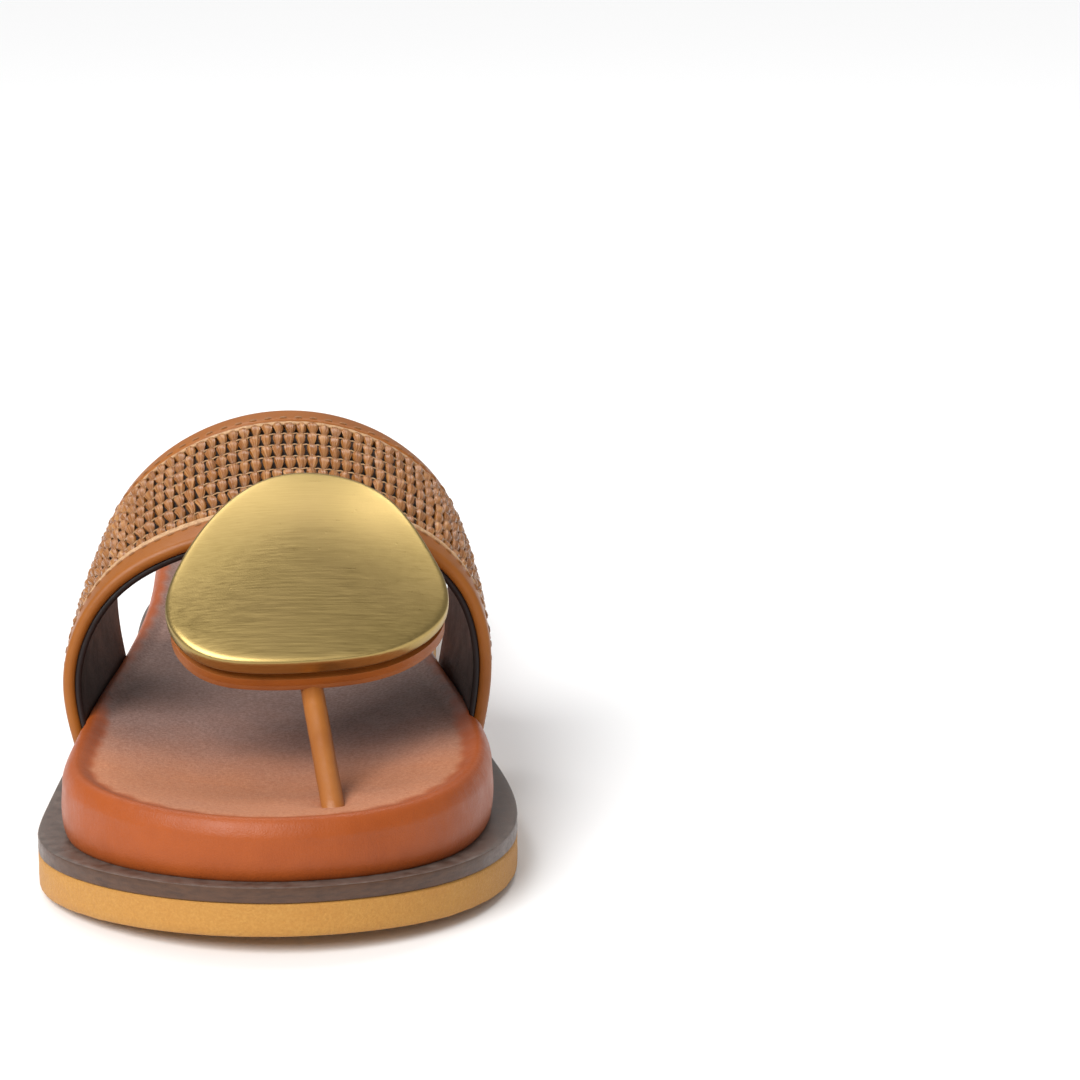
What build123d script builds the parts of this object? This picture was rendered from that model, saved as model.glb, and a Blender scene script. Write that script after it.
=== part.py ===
from build123d import *
import math
import os

os.makedirs("parts", exist_ok=True)

# Thong slide sandal for the right foot. Millimetres, toe toward -Y, big-toe side +X, sole on Z = 0.

# Plan of the footbed: distance from toe to heel, then how far the rim lies to each side of the axis.
stations = (
    (-112, 31.0, 31.5),
    (-95, 42.0, 40.0),
    (-72, 43.2, 42.8),
    (-40, 40.6, 39.0),
    (-5, 35.6, 33.0),
    (35, 31.5, 28.5),
    (80, 31.0, 30.5),
    (108, 23.5, 23.5),
)
toe_y = -125.3
heel_y = 124.3
toe_x = 3.0

# Sole stack: the ground line lifts toward the toe a little more than the layers above it.
ledge = 5.2
toe_narrowing = 0.25
outsole_height = 7.6
welt_height = 3.3
board_height = 2.0
toe_spring = 4.0
upper_spring = 3.2
rim_spring = 0.2
roll_start_y = -60.0
board_inset = 2.0

# Padded footbed.
rim_height = 25.6
heel_rise = 7.0
dish_front = 4.8
dish_heel = 8.5
rim_roll = 5.0
rim_drop = 3.0
cover_thickness = 1.2
foam_thickness = 3.5

# Strap across the instep: outer line of its front and rear edges, as (x, z).
strap_front_arch = (
    (-39.4, 6.0),
    (-43.2, 20.0),
    (-45.1, 33.0),
    (-36.5, 52.5),
    (-18.0, 62.5),
    (3.0, 66.0),
    (24.0, 63.5),
    (38.8, 52.5),
    (43.4, 38.0),
    (41.4, 20.0),
    (38.4, 6.0),
)
strap_rear_arch = (
    (-35.4, 6.0),
    (-37.6, 20.0),
    (-40.0, 36.0),
    (-35.5, 59.0),
    (-20.0, 74.0),
    (1.5, 79.5),
    (23.0, 73.5),
    (36.3, 59.5),
    (39.6, 40.0),
    (37.0, 20.0),
    (34.4, 6.0),
)
strap_front_y = -58.0
strap_width = 50.0
strap_lean = 0.10
strap_crown = 1.2
raffia_thickness = 1.5
reinforcement_thickness = 0.6
lining_thickness = 1.5
binding_proud = 0.4
front_binding_share = 0.13
rear_binding_share = 0.14
thread_thickness = 0.4
thread_share = 0.014
seam_inset_share = 0.02

# Metal ornament and the leather tab under it.
ornament_origin = (5.8, -67.4, 61.4)
ornament_tilt = 33.3
ornament_outline = (
    (0.0, 25.8),
    (15.5, 19.2),
    (25.3, 2.5),
    (28.2, -12.2),
    (19.8, -21.7),
    (4.0, -25.9),
    (-10.2, -26.3),
    (-21.6, -23.3),
    (-28.2, -14.0),
    (-26.0, 0.5),
    (-16.5, 17.0),
)
ornament_thickness = 4.4
ornament_dome_radius = 170.0
ornament_crown = 2.3
ornament_gap = 2.2
tab_thickness = 2.0
tab_lining_thickness = 1.2
tab_scale = 0.97
tongue_half_width = 10.0
tongue_thickness = 1.8
stud_spacing = 18.0
stud_radius = 1.5
collar_radius = 3.0
washer_radius = 3.6
washer_thickness = 0.6
cap_radius = 2.7
cap_height = 1.8

# Toe post.
post_radius = 2.3
post_core_radius = 1.2
post_foot = (10.7, -105.3, 20.2)
post_head = (6.2, -79.6, 40.0)
anchor_radius = 7.0
anchor_thickness = 1.0
anchor_lift = 0.6

welt_top = outsole_height + welt_height
board_top = welt_top + board_height
strap_depth = raffia_thickness + reinforcement_thickness + lining_thickness


def smooth(value):
    """Rise from 0 to 1 with a level start and end."""
    held = min(max(value, 0.0), 1.0)
    return held * held * (3 - 2 * held)


def spring(y, rise):
    """Lift toward the toe, reaching rise at the tip of the sole."""
    return rise * (max(roll_start_y - y, 0.0) / (roll_start_y - toe_y + ledge)) ** 2


def plan_line():
    """Closed line round the footbed, from the toe along the little-toe side."""
    lateral = [(-left, y) for y, left, right in stations]
    medial = [(right, y) for y, left, right in reversed(stations)]
    return Spline((toe_x, toe_y), *lateral, (0.0, heel_y), *medial, periodic=True)


def ledge_at(y, grow):
    """Outward growth of the plan, narrower round the toe."""
    return grow * (1 - toe_narrowing * smooth((-88 - y) / 30)) if grow > 0 else grow


def outline(grow):
    """Plan of the sandal, offset outward by grow, as four smoothly joined curves."""
    loop = plan_line()
    arcs = []
    for quarter in range(4):
        points = []
        ends = []
        for step in range(11):
            share = (quarter + step / 10) / 4 % 1.0
            at = loop @ share
            way = loop % share
            points.append(at + Vector(-way.Y, way.X) * ledge_at(at.Y, grow))
            if step in (0, 10):
                ends.append(way)
        arcs.append(Spline(*points, tangents=ends))
    return Face(Wire(arcs))


def under(height, rise):
    """Everything below a sole line: level, then rolling up toward the toe."""
    front = toe_y - 20
    lift = spring(front, rise)
    back = heel_y + 20
    roll = Bezier((front, height + lift), ((front + roll_start_y) / 2, height), (roll_start_y, height))
    level = Line((roll_start_y, height), (back, height))
    down = Line((back, height), (back, -20))
    base = Line((back, -20), (front, -20))
    up = Line((front, -20), (front, height + lift))
    side = Face(Wire([roll, level, down, base, up]))
    return extrude(Plane.YZ * side, amount=80, both=True)


def slab(grow, low, high, low_rise=upper_spring):
    """One flat layer of the sole stack."""
    block = Pos(0, 0, -20) * extrude(outline(grow), amount=60, dir=(0, 0, 1))
    return block & (under(high, upper_spring) - under(low, low_rise))


def rim(y):
    """Height of the footbed rim."""
    return rim_height + spring(y, rim_spring) + heel_rise * smooth((y + 30) / 100)


def hollow(share, power):
    """Depth of the foot hollow, 1 in the middle and fading level at the rim crest."""
    held = min(abs(share), 1.0)
    return 1 - (power / 2 + 1) * held**power + power / 2 * held ** (power + 2)


def width_at(line, y):
    """How far one side of the plan lies from the axis at one Y."""
    near = line[0]
    for far in line[1:]:
        if near[1] <= y <= far[1]:
            share = (y - near[1]) / max(far[1] - near[1], 1e-6)
            return abs(near[0] + (far[0] - near[0]) * share)
        near = far
    return 0.0


def top_height(x, y, side):
    """Height of the dished top of the footbed, with its softly rolled rim."""
    crest = max(width_at(side, y) - rim_roll, 1.0)
    end = (heel_y if y > 0 else -toe_y) - rim_roll
    dish = dish_front + (dish_heel - dish_front) * smooth((y + 30) / 100)
    sunk = dish * hollow(x / crest, 6) * hollow(y / end, 6)
    past = math.hypot(max(abs(x) - crest, 0), max(abs(y) - end, 0)) / rim_roll
    return rim(y) - sunk - rim_drop * past**2 / (1 + 0.15 * past**2)


def footbed_body(inset):
    """The padded footbed drawn in by inset on its walls and top."""
    loop = plan_line()
    dots = sorted((at.Y, at.X) for at in (loop @ (n / 160) for n in range(160)))
    little = [(x, y) for y, x in dots if x < toe_x / 2]
    big = [(x, y) for y, x in dots if x >= toe_x / 2]
    rows = []
    for row in range(65):
        y = -128 + row * 4
        across = [-52.5 + 3.5 * column for column in range(31)]
        rows.append([(x, y, top_height(x, y, little if x < 0 else big) - inset) for x in across])
    top = Face.make_surface_from_array_of_points(rows, tol=0.05)
    block = extrude(outline(-inset), amount=60, dir=(0, 0, 1)) - under(board_top, upper_spring)
    return split(block, bisect_by=top, keep=Keep.TOP)


def strap_plane(share):
    """Plane across the strap, 0 at its front edge and 1 at its rear edge."""
    lean = strap_lean * (1 - 0.3 * share)
    y = strap_front_y + strap_width * share
    return Plane(origin=(0, y, 0), x_dir=(1, 0, 0), z_dir=(0, -1, lean))


def arch(share, depth):
    """Strap line across the foot, sunk by depth below the outer surface."""
    crown = strap_crown * 4 * share * (1 - share)
    points = []
    for front, rear in zip(strap_front_arch, strap_rear_arch):
        x = front[0] + (rear[0] - front[0]) * share
        z = front[1] + (rear[1] - front[1]) * share
        lift = crown * smooth((z - 10) / 40)
        reach = math.hypot(x, z - 20)
        points.append((x + lift * x / reach, z + lift * (z - 20) / reach))
    outer = Spline(*points)
    if not depth:
        return outer
    sunk = []
    for step in range(25):
        at = outer @ (step / 24)
        way = outer % (step / 24)
        sunk.append((at.X + depth * way.Y, at.Y - depth * way.X))
    return Spline(*sunk)


def strap_section(share, outer, inner):
    """Closed section of one strap layer."""
    over = arch(share, outer)
    below = arch(share, inner)
    ends = [Line(over @ 1, below @ 1), Line(below @ 0, over @ 0)]
    return strap_plane(share) * Face(Wire([over, below, *ends]))


def strap_layer(outer, inner, start=0.0, end=1.0):
    """One layer of the strap between two depths, from start to end across its width."""
    shares = [-0.12, 0.0, 0.25, 0.5, 0.75, 1.0, 1.12]
    body = loft([strap_section(share, outer, inner) for share in shares])
    body = split(body, bisect_by=strap_plane(start), keep=Keep.BOTTOM)
    body = split(body, bisect_by=strap_plane(end), keep=Keep.TOP)
    return split(body, bisect_by=Plane.XY.offset(welt_top), keep=Keep.TOP)


def strap_pocket():
    """Room the strap takes out of the footbed and board: all outside its inner face."""
    block = Pos(0, strap_front_y + strap_width / 2, 50) * Box(160, strap_width + 20, 100)
    block = split(block, bisect_by=strap_plane(0.0), keep=Keep.BOTTOM)
    block = split(block, bisect_by=strap_plane(1.0), keep=Keep.TOP)
    sections = []
    for share in (-0.12, 0.0, 0.25, 0.5, 0.75, 1.0, 1.12):
        line = arch(share, strap_depth)
        sections.append(strap_plane(share) * Face(Wire([line, Line(line @ 1, line @ 0)])))
    return block - loft(sections)


def seam(share):
    """Top thread lying on the binding along one seam."""
    top = -binding_proud - thread_thickness
    return strap_layer(top, -binding_proud, share, share + thread_share)


def ornament_plane(height):
    """Plane of the ornament raised by height along its own normal."""
    turn = math.radians(ornament_tilt)
    normal = (0, -math.sin(turn), math.cos(turn))
    return Plane(origin=ornament_origin, x_dir=(1, 0, 0), z_dir=normal).offset(height)


def ornament_face(scale):
    """Rounded three-sided outline of the ornament."""
    points = [(x * scale, y * scale) for x, y in ornament_outline]
    return Face(Wire([Spline(*points, periodic=True)]))


def ornament_disc():
    """Domed metal pebble."""
    blank = extrude(ornament_face(1.0), amount=10, dir=(0, 0, 1))
    blank = Pos(0, 0, -ornament_thickness) * blank
    dome = Pos(0, 0, ornament_crown - ornament_dome_radius) * Sphere(ornament_dome_radius)
    disc = blank & dome
    disc = fillet([e for e in disc.edges() if e.center().Z < -ornament_thickness + 0.1], radius=0.7)
    disc = fillet([e for e in disc.edges() if e.center().Z > -1.0], radius=1.1)
    return ornament_plane(0) * disc


def tab_plate(top, thickness):
    """Flat leaf of the tab, ending at the front edge of the strap."""
    leaf = extrude(ornament_face(tab_scale), amount=thickness, dir=(0, 0, -1))
    leaf = ornament_plane(top) * leaf
    return split(leaf, bisect_by=strap_plane(-0.004), keep=Keep.TOP)


def tongue():
    """Tail of the tab, running back against the strap lining."""
    tail = strap_layer(strap_depth, strap_depth + tongue_thickness, -0.06, 0.24)
    window = Pos(ornament_origin[0], strap_front_y, 60) * Box(2 * tongue_half_width, 60, 60)
    return tail & window


def rod(start, end, radius):
    """Round bar between two points."""
    way = Vector(*end) - Vector(*start)
    return Plane(origin=start, z_dir=way) * Cylinder(radius, way.length, align=(Align.CENTER, Align.CENTER, Align.MIN))


def post_bar(radius, low):
    """Toe post: upright through the footbed, then leaning back to the tab."""
    head = Vector(*post_head) + (Vector(*post_head) - Vector(*post_foot)).normalized() * 8
    upright = rod((post_foot[0], post_foot[1], low), post_foot, radius)
    leaning = rod(post_foot, tuple(head), radius)
    bar = upright + Pos(*post_foot) * Sphere(radius) + leaning
    return split(bar, bisect_by=ornament_plane(tab_under), keep=Keep.BOTTOM)


def at_studs(shape):
    """The shape repeated at each stud, in the plane of the ornament."""
    places = [Pos(side * stud_spacing / 2, -3, 0) for side in (-1, 1)]
    return [ornament_plane(0) * place * shape for place in places]


def bar(radius, top, height):
    """Upright round bar hanging down from top."""
    return Pos(0, 0, top - height / 2) * Cylinder(radius, height)


tab_top = -ornament_thickness - ornament_gap
tab_middle = tab_top - tab_thickness
tab_under = tab_middle - tab_lining_thickness
washer_under = tab_under - washer_thickness
stud_length = ornament_gap + tab_thickness + tab_lining_thickness + washer_thickness + cap_height - 0.4

# Sole stack.
pocket = strap_pocket()
outsole = slab(ledge, 0, outsole_height, toe_spring)
welt = slab(ledge, outsole_height, welt_top)
insole_board = slab(-board_inset, welt_top, board_top) - pocket

# Toe post and its anchor.
anchor_base = board_top + spring(post_foot[1], upper_spring) + anchor_lift
toe_post_anchor = Pos(post_foot[0], post_foot[1], anchor_base) * Cylinder(
    anchor_radius, anchor_thickness, align=(Align.CENTER, Align.CENTER, Align.MIN)
)
post_low = anchor_base + anchor_thickness
post_solid = post_bar(post_radius, post_low)
toe_post_core = post_bar(post_core_radius, post_low)
toe_post_sleeve = post_solid - toe_post_core

# Footbed.
whole = footbed_body(0)
under_cover = footbed_body(cover_thickness)
under_foam = footbed_body(cover_thickness + foam_thickness)
hole = post_solid + toe_post_anchor
footbed_cover = whole - under_cover - pocket - hole
footbed_foam = under_cover - under_foam - pocket - hole
footbed_core = under_foam - pocket - hole

# Strap.
front_end = front_binding_share
rear_start = 1 - rear_binding_share
lining_top = raffia_thickness + reinforcement_thickness
strap_raffia = strap_layer(0, raffia_thickness, front_end, rear_start)
strap_reinforcement = strap_layer(raffia_thickness, lining_top, front_end, rear_start)
strap_lining = strap_layer(lining_top, strap_depth)
strap_front_stitching = seam(front_end - seam_inset_share - thread_share)
strap_rear_stitching = seam(rear_start + seam_inset_share)
strap_front_binding = strap_layer(-binding_proud, lining_top, 0.0, front_end)
strap_rear_binding = strap_layer(-binding_proud, lining_top, rear_start, 1.0)

# Ornament, tab and fixings.
disc = ornament_disc()
holes = at_studs(bar(stud_radius, 0, 20))
ornament_tab = tab_plate(tab_top, tab_thickness) + tongue()
ornament_tab = ornament_tab - holes
ornament_tab_lining = tab_plate(tab_middle, tab_lining_thickness) - ornament_tab - holes
stud = bar(stud_radius, -ornament_thickness, stud_length) + bar(collar_radius, -ornament_thickness, ornament_gap)
washer = bar(washer_radius, tab_under, washer_thickness) - bar(stud_radius, 0, 20)
cap = bar(cap_radius, washer_under, cap_height)
cap = fillet(cap.edges().sort_by(Axis.Z)[0], radius=1.0) - bar(stud_radius, -ornament_thickness, stud_length)

nodes = {
    "outsole": outsole,
    "welt": welt,
    "insole_board": insole_board,
    "footbed_core": footbed_core,
    "footbed_foam": footbed_foam,
    "footbed_cover": footbed_cover,
    "strap_raffia": strap_raffia,
    "strap_reinforcement": strap_reinforcement,
    "strap_lining": strap_lining,
    "strap_front_binding": strap_front_binding,
    "strap_rear_binding": strap_rear_binding,
    "strap_front_stitching": strap_front_stitching,
    "strap_rear_stitching": strap_rear_stitching,
    "toe_post_sleeve": toe_post_sleeve,
    "toe_post_core": toe_post_core,
    "toe_post_anchor": toe_post_anchor,
    "ornament_tab": ornament_tab,
    "ornament_tab_lining": ornament_tab_lining,
    "ornament_disc": disc,
    "ornament_studs": Compound(at_studs(stud)),
    "ornament_washers": Compound(at_studs(washer)),
    "ornament_stud_caps": Compound(at_studs(cap)),
}

for name, shape in nodes.items():
    export_step(shape, f"parts/{name}.step")
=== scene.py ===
import bpy
import bmesh
import math
import random
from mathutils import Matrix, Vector, noise
from mathutils.bvhtree import BVHTree


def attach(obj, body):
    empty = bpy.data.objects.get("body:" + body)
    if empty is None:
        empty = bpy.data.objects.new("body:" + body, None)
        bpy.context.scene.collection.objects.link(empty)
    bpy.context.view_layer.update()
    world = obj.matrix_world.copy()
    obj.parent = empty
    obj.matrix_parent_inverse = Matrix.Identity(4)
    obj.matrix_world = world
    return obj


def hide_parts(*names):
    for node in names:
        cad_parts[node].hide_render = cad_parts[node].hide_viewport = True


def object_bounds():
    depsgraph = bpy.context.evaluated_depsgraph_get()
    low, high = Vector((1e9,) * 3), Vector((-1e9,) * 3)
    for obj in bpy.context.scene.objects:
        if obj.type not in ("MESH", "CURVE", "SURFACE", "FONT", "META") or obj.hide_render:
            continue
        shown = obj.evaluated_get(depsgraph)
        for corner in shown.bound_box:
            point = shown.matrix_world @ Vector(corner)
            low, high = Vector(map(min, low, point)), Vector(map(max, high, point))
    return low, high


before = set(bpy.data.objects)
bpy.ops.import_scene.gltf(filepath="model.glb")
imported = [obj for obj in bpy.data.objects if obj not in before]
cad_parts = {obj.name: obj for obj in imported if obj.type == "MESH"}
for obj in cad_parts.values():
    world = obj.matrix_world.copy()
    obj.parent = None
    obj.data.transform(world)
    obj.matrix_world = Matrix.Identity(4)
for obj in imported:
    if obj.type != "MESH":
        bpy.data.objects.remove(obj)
cadLow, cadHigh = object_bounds()
mm = 0.001
dice = random.Random(11)
print("frame loaded")


# ---- small helpers

def clearSelection():
    if bpy.context.object and bpy.context.object.mode != "OBJECT":
        bpy.ops.object.mode_set(mode="OBJECT")
    bpy.ops.object.select_all(action="DESELECT")


def makeActive(piece):
    clearSelection()
    piece.select_set(True)
    bpy.context.view_layer.objects.active = piece


def smoothStep(value):
    held = min(max(value, 0.0), 1.0)
    return held * held * (3 - 2 * held)


def treeOf(*names):
    shell = bmesh.new()
    for name in names:
        shell.from_mesh(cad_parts[name].data)
    tree = BVHTree.FromBMesh(shell)
    shell.free()
    return tree


def finishMesh(piece, angle=40):
    # close seams and poles, turn every face outward, shade smooth up to the angle
    makeActive(piece)
    bpy.ops.object.mode_set(mode="EDIT")
    bpy.ops.mesh.select_all(action="SELECT")
    bpy.ops.mesh.remove_doubles(threshold=0.000004)
    bpy.ops.mesh.normals_make_consistent(inside=False)
    bpy.ops.object.mode_set(mode="OBJECT")
    bpy.ops.object.shade_smooth_by_angle(angle=math.radians(angle), keep_sharp_edges=False)


def gridPiece(name, columns, rows, place, angle=40, closeEnds=False):
    # a grid primitive pulled into shape: place(u, v) gives where each of its points goes
    clearSelection()
    bpy.ops.mesh.primitive_grid_add(x_subdivisions=columns, y_subdivisions=rows, size=1, location=(0, 0, 0))
    piece = bpy.context.object
    piece.name = name
    points = []
    for vert in piece.data.vertices:
        u = vert.co.x + 0.5
        v = vert.co.y + 0.5
        points.append(place(u, v))
    for vert, point in zip(piece.data.vertices, points):
        vert.co = point
    if closeEnds:
        makeActive(piece)
        bpy.ops.object.mode_set(mode="EDIT")
        bpy.ops.mesh.select_all(action="SELECT")
        bpy.ops.mesh.remove_doubles(threshold=0.000004)
        bpy.ops.mesh.select_all(action="DESELECT")
        bpy.ops.mesh.select_non_manifold()
        bpy.ops.mesh.edge_face_add()
        bpy.ops.object.mode_set(mode="OBJECT")
    finishMesh(piece, angle)
    return piece


def applyModifier(piece, kind, **settings):
    makeActive(piece)
    modifier = piece.modifiers.new(kind.title(), kind)
    for key, value in settings.items():
        setattr(modifier, key, value)
    bpy.ops.object.modifier_apply(modifier=modifier.name)


def cadCopy(node, name, bevel, angle=35):
    # a merged copy of a CAD node with its hard edges softened
    clearSelection()
    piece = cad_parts[node].copy()
    piece.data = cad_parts[node].data.copy()
    piece.name = name
    piece.parent = None
    piece.matrix_world.identity()
    bpy.context.collection.objects.link(piece)
    finishMesh(piece, angle)
    applyModifier(piece, "BEVEL", width=bevel, segments=3, limit_method="ANGLE", angle_limit=math.radians(50))
    finishMesh(piece, angle)
    return piece


def joinPieces(pieces, name):
    clearSelection()
    for piece in pieces:
        piece.select_set(True)
    bpy.context.view_layer.objects.active = pieces[0]
    bpy.ops.object.join()
    joined = bpy.context.object
    joined.name = name
    return joined


def dress(piece, material):
    piece.data.materials.clear()
    piece.data.materials.append(material)


# ---- materials

def newMaterial(name):
    material = bpy.data.materials.new(name)
    material.use_nodes = True
    material.node_tree.nodes.clear()
    return material


def addNode(material, kind, **settings):
    node = material.node_tree.nodes.new(kind)
    for key, value in settings.items():
        if key in node.inputs:
            node.inputs[key].default_value = value
        else:
            setattr(node, key, value)
    return node


def link(material, fromSocket, toSocket):
    material.node_tree.links.new(fromSocket, toSocket)


def objectCoords(material, scale=(1, 1, 1), turn=(0, 0, 0)):
    coords = addNode(material, "ShaderNodeTexCoord")
    mapping = addNode(material, "ShaderNodeMapping")
    mapping.inputs["Scale"].default_value = scale
    mapping.inputs["Rotation"].default_value = turn
    link(material, coords.outputs["Object"], mapping.inputs["Vector"])
    return mapping.outputs["Vector"]


def noiseTexture(material, vector, scale, detail=4.0, rough=0.55):
    node = addNode(material, "ShaderNodeTexNoise")
    node.inputs["Scale"].default_value = scale
    node.inputs["Detail"].default_value = detail
    node.inputs["Roughness"].default_value = rough
    link(material, vector, node.inputs["Vector"])
    return node.outputs["Fac"]


def ramp(material, value, stops):
    node = addNode(material, "ShaderNodeValToRGB")
    band = node.color_ramp
    while len(band.elements) < len(stops):
        band.elements.new(0.5)
    for element, (place, colour) in zip(band.elements, stops):
        element.position = place
        element.color = (*colour, 1) if len(colour) == 3 else colour
    link(material, value, node.inputs["Fac"])
    return node.outputs["Color"]


def span(material, value, low, high, outLow, outHigh):
    node = addNode(material, "ShaderNodeMapRange")
    node.inputs["From Min"].default_value = low
    node.inputs["From Max"].default_value = high
    node.inputs["To Min"].default_value = outLow
    node.inputs["To Max"].default_value = outHigh
    link(material, value, node.inputs["Value"])
    return node.outputs["Result"]


def mixColour(material, factor, first, second, blend="MIX"):
    node = addNode(material, "ShaderNodeMix", data_type="RGBA", blend_type=blend)
    for socket, value in ((node.inputs["Factor"], factor), (node.inputs[6], first), (node.inputs[7], second)):
        if hasattr(value, "links"):
            link(material, value, socket)
        elif isinstance(value, (int, float)):
            socket.default_value = value
        else:
            socket.default_value = (*value, 1)
    return node.outputs[2]


def bump(material, height, strength, distance, under=None):
    node = addNode(material, "ShaderNodeBump")
    node.inputs["Strength"].default_value = strength
    node.inputs["Distance"].default_value = distance
    link(material, height, node.inputs["Height"])
    if under is not None:
        link(material, under, node.inputs["Normal"])
    return node.outputs["Normal"]


def shader(material, colour, roughness, normal=None, **fixed):
    node = addNode(material, "ShaderNodeBsdfPrincipled")
    output = addNode(material, "ShaderNodeOutputMaterial")
    link(material, node.outputs["BSDF"], output.inputs["Surface"])
    for socket, value in ((node.inputs["Base Color"], colour), (node.inputs["Roughness"], roughness)):
        if hasattr(value, "links"):
            link(material, value, socket)
        else:
            socket.default_value = (*value, 1) if isinstance(value, tuple) else value
    if normal is not None:
        link(material, normal, node.inputs["Normal"])
    for key, value in fixed.items():
        node.inputs[key.replace("_", " ")].default_value = value
    return material


def smoothLeather(name, pale, deep, roughLow, roughHigh, grain=2600, creases=0.25):
    # finished leather: mottled colour, pore grain and faint creases
    material = newMaterial(name)
    coords = objectCoords(material)
    mottle = noiseTexture(material, coords, 55, 5)
    colour = ramp(material, mottle, [(0.32, deep), (0.68, pale)])
    pores = addNode(material, "ShaderNodeTexVoronoi", feature="DISTANCE_TO_EDGE")
    pores.inputs["Scale"].default_value = grain
    link(material, coords, pores.inputs["Vector"])
    poreDepth = span(material, pores.outputs["Distance"], 0.0, 0.35, 0, 1)
    fold = noiseTexture(material, objectCoords(material, (0.35, 1, 2.6)), 260, 6, 0.6)
    grainNormal = bump(material, poreDepth, 0.22, 0.00006)
    normal = bump(material, fold, creases, 0.00045, grainNormal)
    roughness = span(material, noiseTexture(material, coords, 190, 4), 0.3, 0.7, roughLow, roughHigh)
    return shader(material, colour, roughness, normal, Specular_IOR_Level=0.32, Coat_Weight=0.05, Coat_Roughness=0.35)


def footbedLeather():
    # orange walls and rim; the tread surface is paler, and behind the toes it turns mauve grey: painted shade under
    # the strap and painted grey sheen
    material = newMaterial("footbedLeather")
    coords = objectCoords(material)
    treadAndShadeZone = material.node_tree.nodes.new("ShaderNodeAttribute")
    treadAndShadeZone.attribute_name = "treadAndShade"
    parts = addNode(material, "ShaderNodeSeparateColor")
    link(material, treadAndShadeZone.outputs["Color"], parts.inputs["Color"])
    mottle = noiseTexture(material, coords, 60, 5)
    wall = ramp(material, mottle, [(0.3, (0.31, 0.060, 0.007)), (0.7, (0.39, 0.082, 0.011))])
    speck = noiseTexture(material, coords, 1500, 3, 0.7)
    toe = ramp(material, speck, [(0.3, (0.41, 0.145, 0.066)), (0.72, (0.55, 0.24, 0.125))])
    # painted shade and painted sheen: this rear tone is darker and greyer, standing in for the strap's shadow and the
    # grazing reflection
    rear = ramp(material, speck, [(0.3, (0.21, 0.108, 0.083)), (0.72, (0.42, 0.26, 0.215))])
    wander = noiseTexture(material, coords, 38, 4)
    # the painted shade and sheen fade in from the toes towards the heel, following the mask's green channel
    rearShadeFade = addNode(material, "ShaderNodeMath", operation="ADD")
    link(material, parts.outputs["Green"], rearShadeFade.inputs[0])
    link(material, span(material, wander, 0.3, 0.7, -0.14, 0.14), rearShadeFade.inputs[1])
    rearShadeHeld = span(material, rearShadeFade.outputs["Value"], 0.0, 1.0, 0, 1)
    treadAndShade = mixColour(material, rearShadeHeld, toe, rear)
    colour = mixColour(material, parts.outputs["Red"], wall, treadAndShade)
    pores = addNode(material, "ShaderNodeTexVoronoi", feature="DISTANCE_TO_EDGE")
    pores.inputs["Scale"].default_value = 1900
    link(material, coords, pores.inputs["Vector"])
    poreNormal = bump(material, span(material, pores.outputs["Distance"], 0, 0.35, 0, 1), 0.3, 0.00008)
    wrinkle = noiseTexture(material, objectCoords(material, (1.2, 1.2, 0.6)), 330, 7, 0.62)
    normal = bump(material, wrinkle, 0.32, 0.0005, poreNormal)
    gloss = span(material, noiseTexture(material, coords, 210, 4), 0.3, 0.7, 0.36, 0.5)
    roughness = addNode(material, "ShaderNodeMath", operation="MULTIPLY_ADD")
    link(material, parts.outputs["Red"], roughness.inputs[0])
    roughness.inputs[1].default_value = 0.16
    link(material, gloss, roughness.inputs[2])
    worn = roughness.outputs["Value"]
    return shader(material, colour, worn, normal, Specular_IOR_Level=0.35, Coat_Weight=0.05, Coat_Roughness=0.4)


def crepeFoam():
    # mustard sole foam: fine crumb, paler scuffs and a rough trimmed edge
    material = newMaterial("crepeFoam")
    coords = objectCoords(material)
    crumb = noiseTexture(material, coords, 1900, 6, 0.72)
    tones = [(0.3, (0.44, 0.195, 0.032)), (0.55, (0.51, 0.245, 0.047)), (0.75, (0.57, 0.30, 0.07))]
    base = ramp(material, crumb, tones)
    cloud = noiseTexture(material, coords, 95, 4)
    colour = mixColour(material, span(material, cloud, 0.4, 0.75, 0.0, 0.35), base, (0.47, 0.19, 0.03))
    pits = addNode(material, "ShaderNodeTexVoronoi", feature="SMOOTH_F1")
    pits.inputs["Scale"].default_value = 1100
    link(material, coords, pits.inputs["Vector"])
    pitNormal = bump(material, pits.outputs["Distance"], 0.5, 0.00018)
    normal = bump(material, crumb, 0.55, 0.0003, pitNormal)
    return shader(material, colour, 0.78, normal, Sheen_Weight=0.1)


def stackedBoard():
    # dark stained leatherboard: vertical fibres on the edge; on the upward-facing ledge a paler greyish colour,
    # partly the board's own tone and partly painted sheen, the reflection of the pale surroundings
    material = newMaterial("stackedBoard")
    coords = objectCoords(material)
    geometry = addNode(material, "ShaderNodeNewGeometry")
    axes = addNode(material, "ShaderNodeSeparateXYZ")
    link(material, geometry.outputs["Normal"], axes.inputs["Vector"])
    # painted sheen: faces that point up take the paler grey ledge colour
    facingUpSheen = span(material, axes.outputs["Z"], 0.35, 0.9, 0, 1)
    fibre = noiseTexture(material, objectCoords(material, (0.5, 0.5, 2.2)), 620, 6, 0.65)
    edge = ramp(material, fibre, [(0.3, (0.047, 0.018, 0.007)), (0.72, (0.10, 0.042, 0.018))])
    ledgeSheen = noiseTexture(material, coords, 330, 6, 0.65)
    # the pale greyish end of this ramp is painted sheen on the ledge
    ledge = ramp(material, ledgeSheen, [(0.3, (0.07, 0.045, 0.034)), (0.72, (0.18, 0.14, 0.118))])
    colour = mixColour(material, facingUpSheen, edge, ledge)
    scratch = noiseTexture(material, objectCoords(material, (3, 0.4, 1)), 420, 6, 0.7)
    normal = bump(material, scratch, 0.35, 0.0002, bump(material, fibre, 0.25, 0.00016))
    roughness = span(material, ledgeSheen, 0.3, 0.7, 0.3, 0.5)
    return shader(material, colour, roughness, normal, Coat_Weight=0.15, Coat_Roughness=0.3)


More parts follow.
